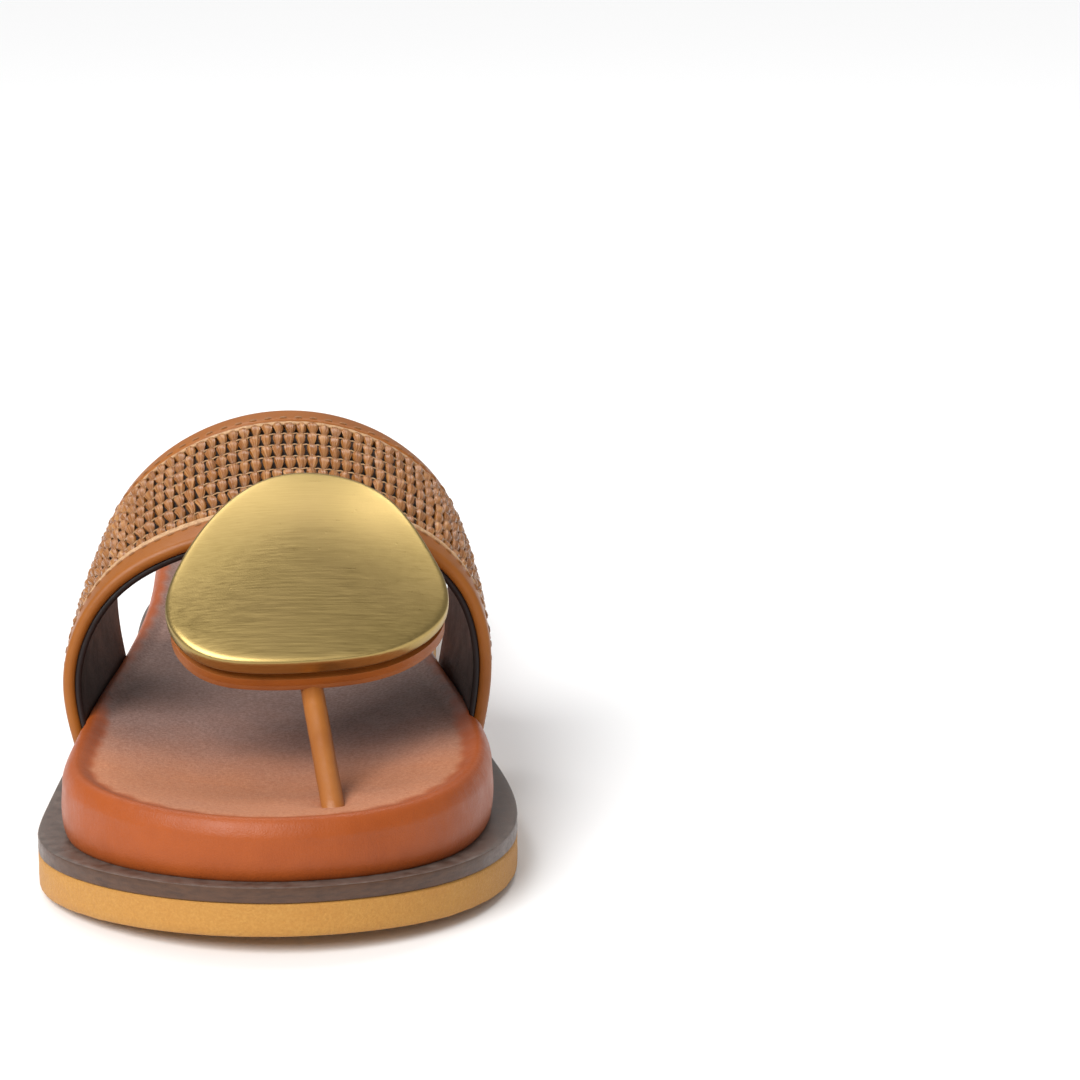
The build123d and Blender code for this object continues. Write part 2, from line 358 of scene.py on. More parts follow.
def glossyRaffia():
    # twisted raffia ribbon: straw tones that change from strip to strip, long fine fibres, and painted shade where
    # the cords pinch each ribbon
    material = newMaterial("glossyRaffia")
    strand = material.node_tree.nodes.new("ShaderNodeAttribute")
    strand.attribute_name = "strand"
    parts = addNode(material, "ShaderNodeSeparateColor")
    link(material, strand.outputs["Color"], parts.inputs["Color"])
    stretched = addNode(material, "ShaderNodeVectorMath", operation="ADD")
    spread = addNode(material, "ShaderNodeCombineXYZ")
    link(material, span(material, parts.outputs["Blue"], 0, 1, 0, 9), spread.inputs["X"])
    link(material, span(material, parts.outputs["Red"], 0, 1, 0, 40), spread.inputs["Y"])
    link(material, spread.outputs["Vector"], stretched.inputs[0])
    link(material, objectCoords(material, (60, 60, 60)), stretched.inputs[1])
    fibre = noiseTexture(material, stretched.outputs["Vector"], 1.6, 5, 0.62)
    tones = [(0.3, (0.21, 0.068, 0.011)), (0.52, (0.38, 0.145, 0.030)), (0.74, (0.62, 0.32, 0.10))]
    straw = ramp(material, fibre, tones)
    toned = mixColour(material, span(material, parts.outputs["Red"], 0, 1, 0.0, 0.5), straw, (0.23, 0.078, 0.014))
    # painted shade: the ribbon darkens towards near black where the cords pinch it (green channel)
    colour = mixColour(material, parts.outputs["Green"], toned, (0.028, 0.009, 0.003))
    normal = bump(material, fibre, 0.6, 0.0003)
    roughness = span(material, fibre, 0.3, 0.7, 0.2, 0.36)
    return shader(material, colour, roughness, normal, Specular_IOR_Level=0.8)


def plainCloth(name, deep, pale, scale=900, rough=0.8):
    material = newMaterial(name)
    coords = objectCoords(material)
    weave = noiseTexture(material, coords, scale, 5, 0.65)
    colour = ramp(material, weave, [(0.3, deep), (0.72, pale)])
    normal = bump(material, weave, 0.5, 0.00015)
    return shader(material, colour, rough, normal, Sheen_Weight=0.15)


def brushedBrass():
    # antique gold, brushed from side to side, with a few pits
    material = newMaterial("brushedBrass")
    lines = noiseTexture(material, objectCoords(material, (0.035, 1, 1)), 2600, 5, 0.7)
    broad = noiseTexture(material, objectCoords(material, (0.12, 1, 1)), 240, 3)
    tone = noiseTexture(material, objectCoords(material), 42, 3)
    brush = ramp(material, lines, [(0.25, (0.36, 0.25, 0.085)), (0.75, (0.46, 0.335, 0.125))])
    colour = mixColour(material, span(material, tone, 0.35, 0.7, 0.0, 0.35), brush, (0.52, 0.36, 0.15))
    pits = addNode(material, "ShaderNodeTexVoronoi")
    pits.inputs["Scale"].default_value = 150
    link(material, objectCoords(material), pits.inputs["Vector"])
    pitDepth = span(material, pits.outputs["Distance"], 0.02, 0.06, 0, 1)
    pitNormal = bump(material, pitDepth, 0.2, 0.0001)
    lineNormal = bump(material, lines, 0.05, 0.0001, pitNormal)
    normal = bump(material, broad, 0.05, 0.0004, lineNormal)
    roughness = span(material, lines, 0.25, 0.75, 0.26, 0.42)
    return shader(material, colour, roughness, normal, Metallic=1.0)


def plainMetal():
    material = newMaterial("studBrass")
    turned = noiseTexture(material, objectCoords(material), 800, 4)
    colour = ramp(material, turned, [(0.3, (0.35, 0.27, 0.13)), (0.7, (0.5, 0.41, 0.22))])
    return shader(material, colour, span(material, turned, 0.3, 0.7, 0.3, 0.45), None, Metallic=1.0)


def attribute(piece, name, colours):
    layer = piece.data.color_attributes.new(name=name, type="FLOAT_COLOR", domain="POINT")
    for spot, colour in zip(layer.data, colours):
        spot.color = colour


# ---- sole: the plan is read off the welt, then every layer is a set of rings round it

sole = dict(
    spineToe=-0.083, spineHeel=0.098, fan=44, side=76,
    outsoleTop=7.6 * mm, weltTop=10.9 * mm, ledge=5.2 * mm, narrowing=0.25, upperShare=0.8, rimShare=0.05,
)

outsoleTree = treeOf("outsole")
weltTree = treeOf("welt")


def liftAt(y):
    # how far the sole rolls up off the floor
    held = min(max(y, cadLow.y + 0.001), cadHigh.y - 0.001)
    hit = outsoleTree.ray_cast(Vector((0.001, held, -0.05)), Vector((0, 0, 1)))[0]
    return max(hit.z, 0.0) if hit else 0.0


def spineRays():
    # (point on the middle line, way outward) all round the sole, from the toe's little-toe side
    rays = []
    for step in range(sole["fan"]):
        turn = math.pi + math.pi * step / sole["fan"]
        rays.append((Vector((0, sole["spineToe"], 0)), Vector((math.cos(turn), math.sin(turn), 0))))
    for step in range(sole["side"]):
        y = sole["spineToe"] + (sole["spineHeel"] - sole["spineToe"]) * step / sole["side"]
        rays.append((Vector((0, y, 0)), Vector((1, 0, 0))))
    for step in range(sole["fan"]):
        turn = math.pi * step / sole["fan"]
        rays.append((Vector((0, sole["spineHeel"], 0)), Vector((math.cos(turn), math.sin(turn), 0))))
    for step in range(sole["side"]):
        y = sole["spineHeel"] + (sole["spineToe"] - sole["spineHeel"]) * step / sole["side"]
        rays.append((Vector((0, y, 0)), Vector((-1, 0, 0))))
    return rays


def readPlan():
    middle = (sole["outsoleTop"] + sole["weltTop"]) / 2
    rays = spineRays()
    reaches = []
    for root, way in rays:
        y = root.y + way.y * 0.04
        reach = 0.045
        for attempt in range(4):
            start = root + way * 0.09 + Vector((0, 0, middle + liftAt(y) * sole["upperShare"]))
            hit = weltTree.ray_cast(start, -way)[0]
            if hit is None:
                break
            reach = (Vector((hit.x, hit.y, 0)) - root).length
            y = hit.y
        reaches.append(reach)
    count = len(reaches)
    for attempt in range(3):
        reaches = [(reaches[n - 1] + 2 * reaches[n] + reaches[(n + 1) % count]) / 4 for n in range(count)]
    return [(root, way, reach) for (root, way), reach in zip(rays, reaches)]


plan = readPlan()
planCount = len(plan)
planEdge = [root + way * reach for root, way, reach in plan]


def outwardAt(n):
    along = planEdge[(n + 1) % planCount] - planEdge[n - 1]
    return Vector((along.y, -along.x, 0)).normalized()


planNormal = [outwardAt(n) for n in range(planCount)]
print("plan read,", planCount, "points")


def planPoint(n, inset):
    # a point inset from the welt's outer edge, never past the middle line
    n = n % planCount
    root, way, reach = plan[n]
    share = min(inset / reach, 1.0)
    straight = planEdge[n] - planNormal[n] * inset
    pulled = root + way * (reach - inset)
    blend = smoothStep(share * 1.6)
    point = straight.lerp(pulled, blend) if share < 1 else root.copy()
    return point


def ledgeAt(n):
    # width of the ledge beside the footbed, narrower round the toe
    y = planEdge[n % planCount].y / mm
    return sole["ledge"] * (1 - sole["narrowing"] * smoothStep((-90 - y) / 30))


def layerPiece(name, rings, angle=40):
    # rings: list of (inset, height function of the point); the first and last lie on the middle line
    def place(u, v):
        row = round(v * (len(rings) - 1))
        inset, height = rings[row]
        column = round(u * planCount) % planCount
        if inset is None:
            point = plan[column][0].copy()
        elif inset < 0:
            root, way, reach = plan[column]
            point = root.lerp(planPoint(column, ledgeAt(column) + 0.018), 1 + inset)
        else:
            point = planPoint(column, inset)
        point.z = height(point)
        return point
    return gridPiece(name, planCount, len(rings) - 1, place, angle)


def soleHeight(base, rough=0.0, seed=0.0):
    def height(point):
        wobble = noise.noise(Vector((point.x * 900 + seed, point.y * 900, base * 3000))) * rough
        share = 1 - (1 - sole["upperShare"]) * min(base / sole["outsoleTop"], 1)
        return base + liftAt(point.y) * share + wobble
    return height


def buildOutsole():
    top = sole["outsoleTop"]
    trim = dict(edge=0.7 * mm, crumble=0.16 * mm)
    rings = [
        (None, soleHeight(0)),
        (14 * mm, soleHeight(0)),
        (2.2 * mm, soleHeight(0)),
        (0.9 * mm, soleHeight(0, trim["crumble"] * 0.3, 3)),
        (0.35 * mm, soleHeight(trim["edge"] * 0.35, trim["crumble"], 9)),
        (0.05 * mm, soleHeight(trim["edge"], trim["crumble"], 21)),
        (-0.0 * mm, soleHeight(top * 0.3)),
        (0.05 * mm, soleHeight(top * 0.6)),
        (0.02 * mm, soleHeight(top - 0.5 * mm)),
        (0.35 * mm, soleHeight(top - 0.06 * mm)),
        (2 * mm, soleHeight(top - 0.02 * mm)),
        (None, soleHeight(top - 0.02 * mm)),
    ]
    piece = layerPiece("outsoleFoam", rings)
    for vert in piece.data.vertices:
        vert.co.z = max(vert.co.z, 0.0)
    dress(piece, crepeFoam())
    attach(piece, "root")
    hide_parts("outsole")
    return piece


def buildWelt():
    low = sole["outsoleTop"]
    top = sole["weltTop"]
    rings = [
        (None, soleHeight(low)),
        (2 * mm, soleHeight(low)),
        (0.25 * mm, soleHeight(low + 0.02 * mm)),
        (0.0 * mm, soleHeight(low + 0.25 * mm)),
        (0.06 * mm, soleHeight((low + top) / 2)),
        (0.0 * mm, soleHeight(top - 0.4 * mm)),
        (0.12 * mm, soleHeight(top - 0.12 * mm)),
        (0.4 * mm, soleHeight(top)),
        (1.6 * mm, soleHeight(top - 0.05 * mm, 0.05 * mm, 4)),
        (4.6 * mm, soleHeight(top - 0.12 * mm, 0.05 * mm, 8)),
        (8 * mm, soleHeight(top - 0.1 * mm)),
        (None, soleHeight(top - 0.1 * mm)),
    ]
    piece = layerPiece("weltBoard", rings)
    dress(piece, stackedBoard())
    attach(piece, "root")
    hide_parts("welt")
    return piece


# ---- padded footbed

footbed = dict(
    rim=25.6 * mm, heelRise=7 * mm, dishFront=4.8 * mm, dishHeel=8.5 * mm,
    postHole=Vector((10.5, -104.4, 0)) * mm,
)


def rimHeight(y):
    return footbed["rim"] + liftAt(y) * sole["rimShare"] + footbed["heelRise"] * smoothStep((y / mm + 30) / 100)


def footbedHeight(inset, point):
    # height over the footbed at a distance in from its wall: soft rolled rim, crease, then the hollow
    y = point.y
    dish = footbed["dishFront"] + (footbed["dishHeel"] - footbed["dishFront"]) * smoothStep((y / mm + 30) / 100)
    crest = rimHeight(y)
    ins = inset / mm
    if ins < 2.8:
        return crest - 3.4 * mm * (1 - ins / 2.8) ** 2.4
    roll = 1.5 * mm * smoothStep((ins - 2.8) / 3.6)
    sink = (dish - 1.5 * mm) * smoothStep((ins - 7.5) / 22)
    return crest - roll - sink


def closeMiddle(piece):
    # fill the strips left open along the middle line, above and below, with small triangles
    makeActive(piece)
    bpy.ops.object.mode_set(mode="EDIT")
    bpy.ops.mesh.select_all(action="SELECT")
    bpy.ops.mesh.fill_holes(sides=0)
    bpy.ops.mesh.quads_convert_to_tris(quad_method="BEAUTY", ngon_method="BEAUTY")
    bpy.ops.object.mode_set(mode="OBJECT")
    finishMesh(piece, 60)


def relaxHollow(piece):
    # even out the hollow, away from the rim
    makeActive(piece)
    bpy.ops.object.mode_set(mode="EDIT")
    bpy.ops.mesh.select_mode(type="VERT")
    bpy.ops.mesh.select_all(action="DESELECT")
    bpy.ops.object.mode_set(mode="OBJECT")
    near = [Vector((edge.x, edge.y)) for edge in planEdge[::4]]
    for vert in piece.data.vertices:
        flat = vert.co.xy
        deep = min((flat - edge).length for edge in near) > sole["ledge"] + 9 * mm
        vert.select = deep and vert.co.z > sole["weltTop"] + 3 * mm
    bpy.ops.object.mode_set(mode="EDIT")
    bpy.ops.mesh.vertices_smooth(factor=0.5, repeat=24)
    bpy.ops.object.mode_set(mode="OBJECT")


def buildFootbed():
    wallLow = sole["weltTop"] - 0.2 * mm
    insets = [0.0, 0.25, 0.7, 1.3, 2.0, 2.8, 3.6, 4.3, 5.0, 5.7, 6.5, 7.6, 9, 11, 13.5, 16.5, 20]
    rings = [(18, "base", 0), (10, "base", 0), (1.4, "base", 0)]
    wall = ((0.0, 0.75), (0.05, 0.35), (0.14, 0.02), (0.3, -0.28), (0.5, -0.35), (0.7, -0.22), (0.86, -0.06))
    for share, bulge in wall:
        rings.append((bulge, "wall", share))
    for inset in insets:
        rings.append((inset, "top", 0))
    for share in (0.88, 0.76, 0.64, 0.52, 0.4, 0.28):
        rings.append((share, "inner", 0))

    def place(u, v):
        kind = rings[round(v * (len(rings) - 1))]
        column = round(u * planCount) % planCount
        root = plan[column][0]
        if kind[1] == "inner":
            edge = planPoint(column, ledgeAt(column) + 20 * mm)
            point = root.lerp(edge, kind[0])
            inset = 20 * mm + (edge - root).length * (1 - kind[0])
            point.z = footbedHeight(inset, point)
            return point
        point = planPoint(column, ledgeAt(column) + kind[0] * mm)
        low = wallLow + liftAt(point.y) * sole["upperShare"]
        if kind[1] == "base":
            point.z = low
        elif kind[1] == "wall":
            point.z = low + (rimHeight(point.y) - 3.4 * mm - low) * kind[2]
        else:
            point.z = footbedHeight(kind[0] * mm, point)
        return point

    piece = gridPiece("footbedUpholstery", planCount, len(rings) - 1, place, 60)
    closeMiddle(piece)
    relaxHollow(piece)
    applyModifier(piece, "SUBSURF", levels=1, render_levels=1)
    # softness: the padding under the leather is never quite even, and it dimples round the toe post
    for vert in piece.data.vertices:
        spot = vert.co
        soft = noise.noise(Vector((spot.x * 45, spot.y * 45, spot.z * 45))) * 0.22 * mm
        if spot.z > sole["weltTop"] + 2 * mm:
            away = (Vector((spot.x, spot.y, 0)) - footbed["postHole"]).length
            dent = 1.5 * mm * math.exp(-((away / (4.2 * mm)) ** 2))
            spot.z += soft - dent * (1 if spot.z > sole["weltTop"] + 6 * mm else 0)
    return piece


def pressFootbed(piece, strapSurface):
    # the strap presses the padded wall in where it passes down to the welt
    pressed = 0
    for vert in piece.data.vertices:
        spot = vert.co
        if spot.z < sole["weltTop"] - 0.5 * mm:
            continue
        reach, share = strapSurface(spot)
        side = -1 if spot.x < 0 else 1
        over = spot.x * side - reach
        if over > 0 and share > 0:
            spot.x -= side * (over + 0.03 * mm) * share
            pressed += 1
    print("footbed points pressed by the strap:", pressed)


def treadAndShadeMask(piece):
    # red: where the paler tread colour lies; green: painted shade and painted sheen that darken the tread behind the
    # toes
    colours = []
    crease = 5.2 * mm
    for vert in piece.data.vertices:
        spot = vert.co
        depth = min((Vector((spot.x, spot.y, 0)) - Vector((edge.x, edge.y, 0))).length for edge in planEdge[::3])
        # towards the heel the orange rim band narrows, so the painted grey sheen reaches closer to the crest
        past = crease - 2.6 * mm * smoothStep((spot.y / mm + 62) / 26)
        inside = smoothStep((depth - sole["ledge"] - past) / (2.2 * mm))
        if spot.z < sole["weltTop"] + 5 * mm:
            inside = 0.0
        # painted shade: rises from the toes towards the heel
        rearShade = smoothStep((spot.y / mm + 92) / 46)
        colours.append((inside, rearShade, 0, 1))
    attribute(piece, "treadAndShade", colours)


# ---- strap: a smooth surface read off the lining

strap = dict(
    frontY=-58 * mm, width=50 * mm, lean=0.10, leanLoss=0.3, heart=Vector((1 * mm, 0, 24 * mm)),
    across=25, along=180, liningThickness=1.5 * mm,
)
liningTree = treeOf("strap_lining")


def strapLine(share):
    # outer line of the lining at one place across the strap, even steps from little-toe to big-toe side
    lean = strap["lean"] * (1 - strap["leanLoss"] * share)
    baseY = strap["frontY"] + strap["width"] * share
    raw = []
    for step in range(361):
        turn = math.radians(208 - 236 * step / 360)
        way = Vector((math.cos(turn), lean * math.sin(turn), math.sin(turn)))
        heart = strap["heart"] + Vector((0, baseY + lean * strap["heart"].z, 0))
        hit = liningTree.ray_cast(heart + way * 0.09, -way)[0]
        outside = hit is not None and (hit - heart).dot(way) > 0.01
        if outside and hit.z > sole["weltTop"] + 0.05 * mm:
            raw.append(hit)
    for attempt in range(6):
        raw = [raw[0]] + [(raw[n - 1] + raw[n] * 2 + raw[n + 1]) / 4 for n in range(1, len(raw) - 1)] + [raw[-1]]
    lengths = [0.0]
    for first, second in zip(raw, raw[1:]):
        lengths.append(lengths[-1] + (second - first).length)
    even = []
    at = 0
    for step in range(strap["along"] + 1):
        goal = lengths[-1] * step / strap["along"]
        while at < len(raw) - 2 and lengths[at + 1] < goal:
            at += 1
        stretch = max(lengths[at + 1] - lengths[at], 1e-9)
        even.append(raw[at].lerp(raw[at + 1], min(max((goal - lengths[at]) / stretch, 0), 1)))
    return even, lengths[-1]


def readStrap():
    lines = []
    total = 0
    for step in range(strap["across"]):
        share = 0.012 + 0.976 * step / (strap["across"] - 1)
        line, length = strapLine(share)
        lines.append(line)
        total += length / strap["across"]
    return lines, total


strapLines, strapLength = readStrap()
print("strap read, length over the arch", round(strapLength / mm, 1), "mm")


def strapSpot(along, across):
    # a point on the lining's outer side; past either edge it carries straight on
    a = min(max(along, 0.0), 1.0) * strap["along"]
    s = (across - 0.012) / 0.976 * (strap["across"] - 1)
    i = min(int(a), strap["along"] - 1)
    j = min(max(int(math.floor(s)), 0), strap["across"] - 2)
    fa, fs = a - i, s - j
    first = strapLines[j][i].lerp(strapLines[j][i + 1], fa)
    second = strapLines[j + 1][i].lerp(strapLines[j + 1][i + 1], fa)
    return first + (second - first) * fs


def strapPoint(along, across, height):
    step = 0.004
    ahead = strapSpot(min(along + step, 1), across) - strapSpot(max(along - step, 0), across)
    side = strapSpot(along, min(across + 0.04, 1)) - strapSpot(along, max(across - 0.04, 0))
    out = ahead.cross(side)
    if out.dot(strapSpot(along, across) - Vector((0.001, out.y, 0.02))) < 0:
        out = -out
    out.normalize()
    return strapSpot(along, across) + out * height


def strapPiece(name, section, steps, angle=40):
    # section: closed list of (across, height), carried from one foot of the strap to the other
    count = len(section)

    def place(u, v):
        across, height = section[round(u * count) % count]
        return strapPoint(v, across, height)

    return gridPiece(name, count, steps, place, angle, closeEnds=True)


def roundedSection(low, high, thin, thick, corner, ends=6):
    # flat strip with rounded long edges; low and high in shares, the rest in metres
    rim = corner / strap["width"]
    points = []
    for step in range(9):
        points.append((low + rim + (high - low - 2 * rim) * step / 8, thick))
    for step in range(1, ends):
        turn = math.pi / 2 - math.pi * step / ends
        middle = (thin + thick) / 2
        points.append((high - rim + rim * math.cos(turn), middle + (thick - middle) * math.sin(turn)))
    for step in range(9):
        points.append((high - rim - (high - low - 2 * rim) * step / 8, thin))
    for step in range(1, ends):
        turn = -math.pi / 2 - math.pi * step / ends
        middle = (thin + thick) / 2
        points.append((low + rim + rim * math.cos(turn), middle + (thick - middle) * math.sin(turn)))
    return points


def buildLining():
    section = roundedSection(0.006, 0.994, -strap["liningThickness"], -0.05 * mm, 0.6 * mm)
    piece = strapPiece("strapLining", section, 150)
    dress(piece, smoothLeather("liningLeather", (0.015, 0.006, 0.005), (0.007, 0.0025, 0.002), 0.32, 0.48, 2200, 0.3))
    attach(piece, "root")
    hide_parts("strap_lining")
    return piece


weave = dict(low=0.118, high=0.872, cells=7, pitch=2.3 * mm, ground=0.75 * mm, crown=1.75 * mm)


def buildBacking():
    section = roundedSection(0.12, 0.87, 0.0, weave["ground"], 0.3 * mm)
    piece = strapPiece("strapBacking", section, 150)
    dress(piece, plainCloth("backingCloth", (0.014, 0.005, 0.002), (0.045, 0.017, 0.007)))
    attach(piece, "root")
    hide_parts("strap_reinforcement")
    return piece


def buildRaffia():
    # raffia ribbons cross the band side by side; fine cords pinch each one into a row of puffs
    strips = int(strapLength / weave["pitch"])
    perCell = 7
    rings = weave["cells"] * perCell
    sides = 8
    ribbons = []
    tones = []
    for strip in range(strips):
        centre = (strip + 0.5) / strips
        tone = dice.random()
        shift = dice.uniform(-0.05, 0.05)
        clearSelection()
        bpy.ops.mesh.primitive_grid_add(x_subdivisions=sides, y_subdivisions=rings, size=1, location=(0, 0, 0))
        ribbon = bpy.context.object
        fold = [dice.uniform(-0.16, 0.16) for n in range(sides * (weave["cells"] + 2))]
        for vert in ribbon.data.vertices:
            side = round((vert.co.x + 0.5) * sides) % sides
            ring = round((vert.co.y + 0.5) * rings)
            place = ring / rings
            phase = place * weave["cells"] + shift
            within = (phase % 1.0) ** 1.35
            puff = abs(math.sin(math.pi * within)) ** 0.8
            lean = math.sin(math.pi * phase * 2) * 0.10
            turn = 2 * math.pi * side / sides - math.pi / 2 + 0.35 * math.sin(phase * 2.1 + strip)
            half = (0.34 + 0.78 * puff) * mm
            rise = (0.20 + 0.72 * puff) * mm
            crumple = 1 + fold[(side + sides * int(phase + 1)) % len(fold)] * puff
            offset = (math.cos(turn) * half * crumple + lean * half) / strapLength
            height = weave["ground"] + 0.25 * mm + (1 + math.sin(turn) * crumple) * rise * 0.98
            across = weave["low"] + (weave["high"] - weave["low"]) * place
            vert.co = strapPoint(centre + offset, across, height)
        tones.append((len(ribbon.data.vertices), tone))
        ribbons.append(ribbon)
    piece = joinPieces(ribbons, "raffiaRibbons")
    colours = []
    index = 0
    for count, tone in tones:
        for n in range(count):
            ring = n // (sides + 1)
            phase = ring / rings * weave["cells"]
            # painted shade: darkness put into the green channel at each pinch between puffs
            pinchShade = 1 - abs(math.sin(math.pi * phase)) ** 0.5
            cell = dice.random() if n % (sides + 1) == 0 and ring % perCell == 0 else None
            if cell is not None:
                index = cell
            around = (n % (sides + 1)) / sides
            colours.append((min(1, tone * 0.6 + index * 0.5), pinchShade * 0.7, around, 1))
    attribute(piece, "strand", colours)
    finishMesh(piece, 32)
    dress(piece, glossyRaffia())
    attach(piece, "root")
    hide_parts("strap_raffia")
    return piece


def strand(name, across, height, radius, steps, wobble=0.0, seed=0, sides=6):
    # a round thread along the strap
    def place(u, v):
        turn = 2 * math.pi * (round(u * sides) % sides) / sides
        drift = wobble * math.cos(2 * math.pi * v * steps / 4 + seed * 0.3)
        beside = across + math.cos(turn) * radius / strap["width"]
        point = strapPoint(v, beside, height + math.sin(turn) * radius + drift)
        return point
    return gridPiece(name, sides, steps, place, 60, closeEnds=True)


def buildCords():
    # fine pale cords that hold the raffia down, and the straight strands along both bindings
    cords = []
    steps = 4 * int(strapLength / weave["pitch"])
    for row in range(weave["cells"] + 1):
        across = weave["low"] + (weave["high"] - weave["low"]) * row / weave["cells"]
        across = min(max(across, weave["low"] + 0.02), weave["high"] - 0.02)
        cords.append(strand("cord", across, weave["ground"] + 0.86 * mm, 0.15 * mm, steps, 0.13 * mm, 0, 5))
    for across in (0.134, 0.146, 0.846, 0.858):
        cords.append(strand("cord", across, 2.1 * mm, 0.32 * mm, 220, 0.05 * mm, across * 50))
    piece = joinPieces(cords, "raffiaCords")
    dress(piece, plainCloth("cordThread", (0.40, 0.20, 0.075), (0.68, 0.43, 0.22), 1500, 0.5))
    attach(piece, "root")
    return piece


binding = dict(width=0.13, top=2.45 * mm, tuck=-0.2 * mm, roll=1.3 * mm)


def bindingSection(front):
    # folded leather: flat on the band, rolled over its edge
    width = binding["width"]
    roll = binding["roll"] / strap["width"]
    top = binding["top"]
    flat = width - 0.012
    points = [(width, top - 0.75 * mm), (width - 0.004, top - 0.3 * mm), (flat, top - 0.08 * mm)]
    for step in range(1, 8):
        share = step / 8
        points.append((flat - (flat - roll) * share, top + 0.05 * mm * math.sin(math.pi * share)))
    middle = (binding["top"] + binding["tuck"]) / 2
    for step in range(9):
        turn = math.pi / 2 + math.pi * step / 8
        points.append((roll + roll * math.cos(turn), middle + (binding["top"] - middle) * math.sin(turn)))
    points.append((width * 0.5, binding["tuck"]))
    points.append((width, binding["tuck"]))
    return points if front else [(1 - across, height) for across, height in points]


def buildBindings():
    made = []
    leather = smoothLeather("bindingLeather", (0.35, 0.112, 0.014), (0.275, 0.082, 0.009), 0.34, 0.46, 2800, 0.2)
    sides = ((True, "frontBinding", "strap_front_binding"), (False, "rearBinding", "strap_rear_binding"))
    for front, name, node in sides:
        piece = strapPiece(name, bindingSection(front), 220, 50)
        dress(piece, leather)
        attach(piece, "root")
        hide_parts(node)
        made.append(piece)
    return made


stitch = dict(length=2.0 * mm, pitch=3.0 * mm, radius=0.24 * mm, sides=6, rings=5)


def buildStitching():
    # one stitch is a short thread that dips into the leather at both ends
    thread = plainCloth("seamThread", (0.20, 0.075, 0.018), (0.36, 0.155, 0.045), 2200, 0.6)
    for name, node, across in (
        ("frontStitching", "strap_front_stitching", binding["width"] - 0.026),
        ("rearStitching", "strap_rear_stitching", 1 - binding["width"] + 0.026),
    ):
        stitches = []
        count = int(strapLength / stitch["pitch"])
        for n in range(count):
            centre = (n + 0.5) / count
            clearSelection()
            bpy.ops.mesh.primitive_grid_add(
                x_subdivisions=stitch["sides"], y_subdivisions=stitch["rings"], size=1, location=(0, 0, 0)
            )
            one = bpy.context.object
            for vert in one.data.vertices:
                turn = 2 * math.pi * (round((vert.co.x + 0.5) * stitch["sides"]) % stitch["sides"]) / stitch["sides"]
                place = vert.co.y
                fat = math.sqrt(max(1 - (abs(place) * 2) ** 4, 0.0))
                dip = -0.3 * mm * (abs(place) * 2) ** 4
                along = centre + place * stitch["length"] / strapLength
                side = across + math.cos(turn) * stitch["radius"] * fat / strap["width"]
                height = binding["top"] + 0.12 * mm + dip + math.sin(turn) * stitch["radius"] * fat
                vert.co = strapPoint(along, side, height)
            stitches.append(one)
        piece = joinPieces(stitches, name)
        finishMesh(piece, 60)
        dress(piece, thread)
        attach(piece, "root")
        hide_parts(node)


# ---- ornament, tab and toe post

ornament = dict(
    origin=Vector((5.8, -67.4, 61.4)) * mm, tilt=math.radians(33.3),
    thickness=4.4 * mm, crown=2.0 * mm, domeRadius=170 * mm, around=144,
)
discTree = treeOf("ornament_disc")
discUp = Vector((0, -math.sin(ornament["tilt"]), math.cos(ornament["tilt"])))
discBack = Vector((0, math.cos(ornament["tilt"]), math.sin(ornament["tilt"])))


def discSpot(x, y, z):
    return ornament["origin"] + Vector((x, 0, 0)) + discBack * y + discUp * z


def readDisc():
    reaches = []
    for step in range(ornament["around"]):
        turn = 2 * math.pi * step / ornament["around"]
        way = Vector((math.cos(turn), 0, 0)) + discBack * math.sin(turn)
        middle = discSpot(0, 0, -ornament["thickness"] * 0.5)
        hit = discTree.ray_cast(middle + way * 0.08, -way)[0]
        reaches.append((hit - middle).length if hit else 0.026)
    count = len(reaches)
    for attempt in range(4):
        reaches = [(reaches[n - 1] + 2 * reaches[n] + reaches[(n + 1) % count]) / 4 for n in range(count)]
    return reaches


discReach = readDisc()


def buildDisc():
    # a cast pebble: soft upper edge, fuller lower lip, faintly uneven dome
    thick = ornament["thickness"]
    lower = [(0.0, 0.7), (0.3, 0.7), (0.6, 0.5), (0.9, 0.1), (0.965, 0.0), (0.988, 0.15), (0.998, 0.6)]
    rings = [(size, "base", lift * mm) for size, lift in lower]
    for size, drop in ((1.0, 1.3), (0.999, 0.85), (0.994, 0.45), (0.984, 0.2), (0.968, 0.07), (0.95, 0.02)):
        rings.append((size, "top", drop * mm))
    for step in range(1, 17):
        rings.append((0.95 * (1 - step / 16), "top", 0))
    around = ornament["around"]

    def place(u, v):
        column = round(u * around) % around
        size, side, offset = rings[round(v * (len(rings) - 1))]
        turn = 2 * math.pi * column / around
        reach = discReach[column] * size
        x = math.cos(turn) * reach
        y = math.sin(turn) * reach
        if side == "base":
            return discSpot(x, y, -thick + offset)
        dome = ornament["crown"] - (x * x + y * y) / (2 * ornament["domeRadius"])
        wave = math.sin(x / mm * 0.11 + 1.2) * math.cos(y / mm * 0.12 - 0.6) * 0.3 * mm
        return discSpot(x, y, dome + wave - offset)

    piece = gridPiece("ornamentPebble", around, len(rings) - 1, place, 50)
    applyModifier(piece, "SUBSURF", levels=1, render_levels=1)
    dress(piece, brushedBrass())
    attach(piece, "root")
    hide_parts("ornament_disc")
    return piece


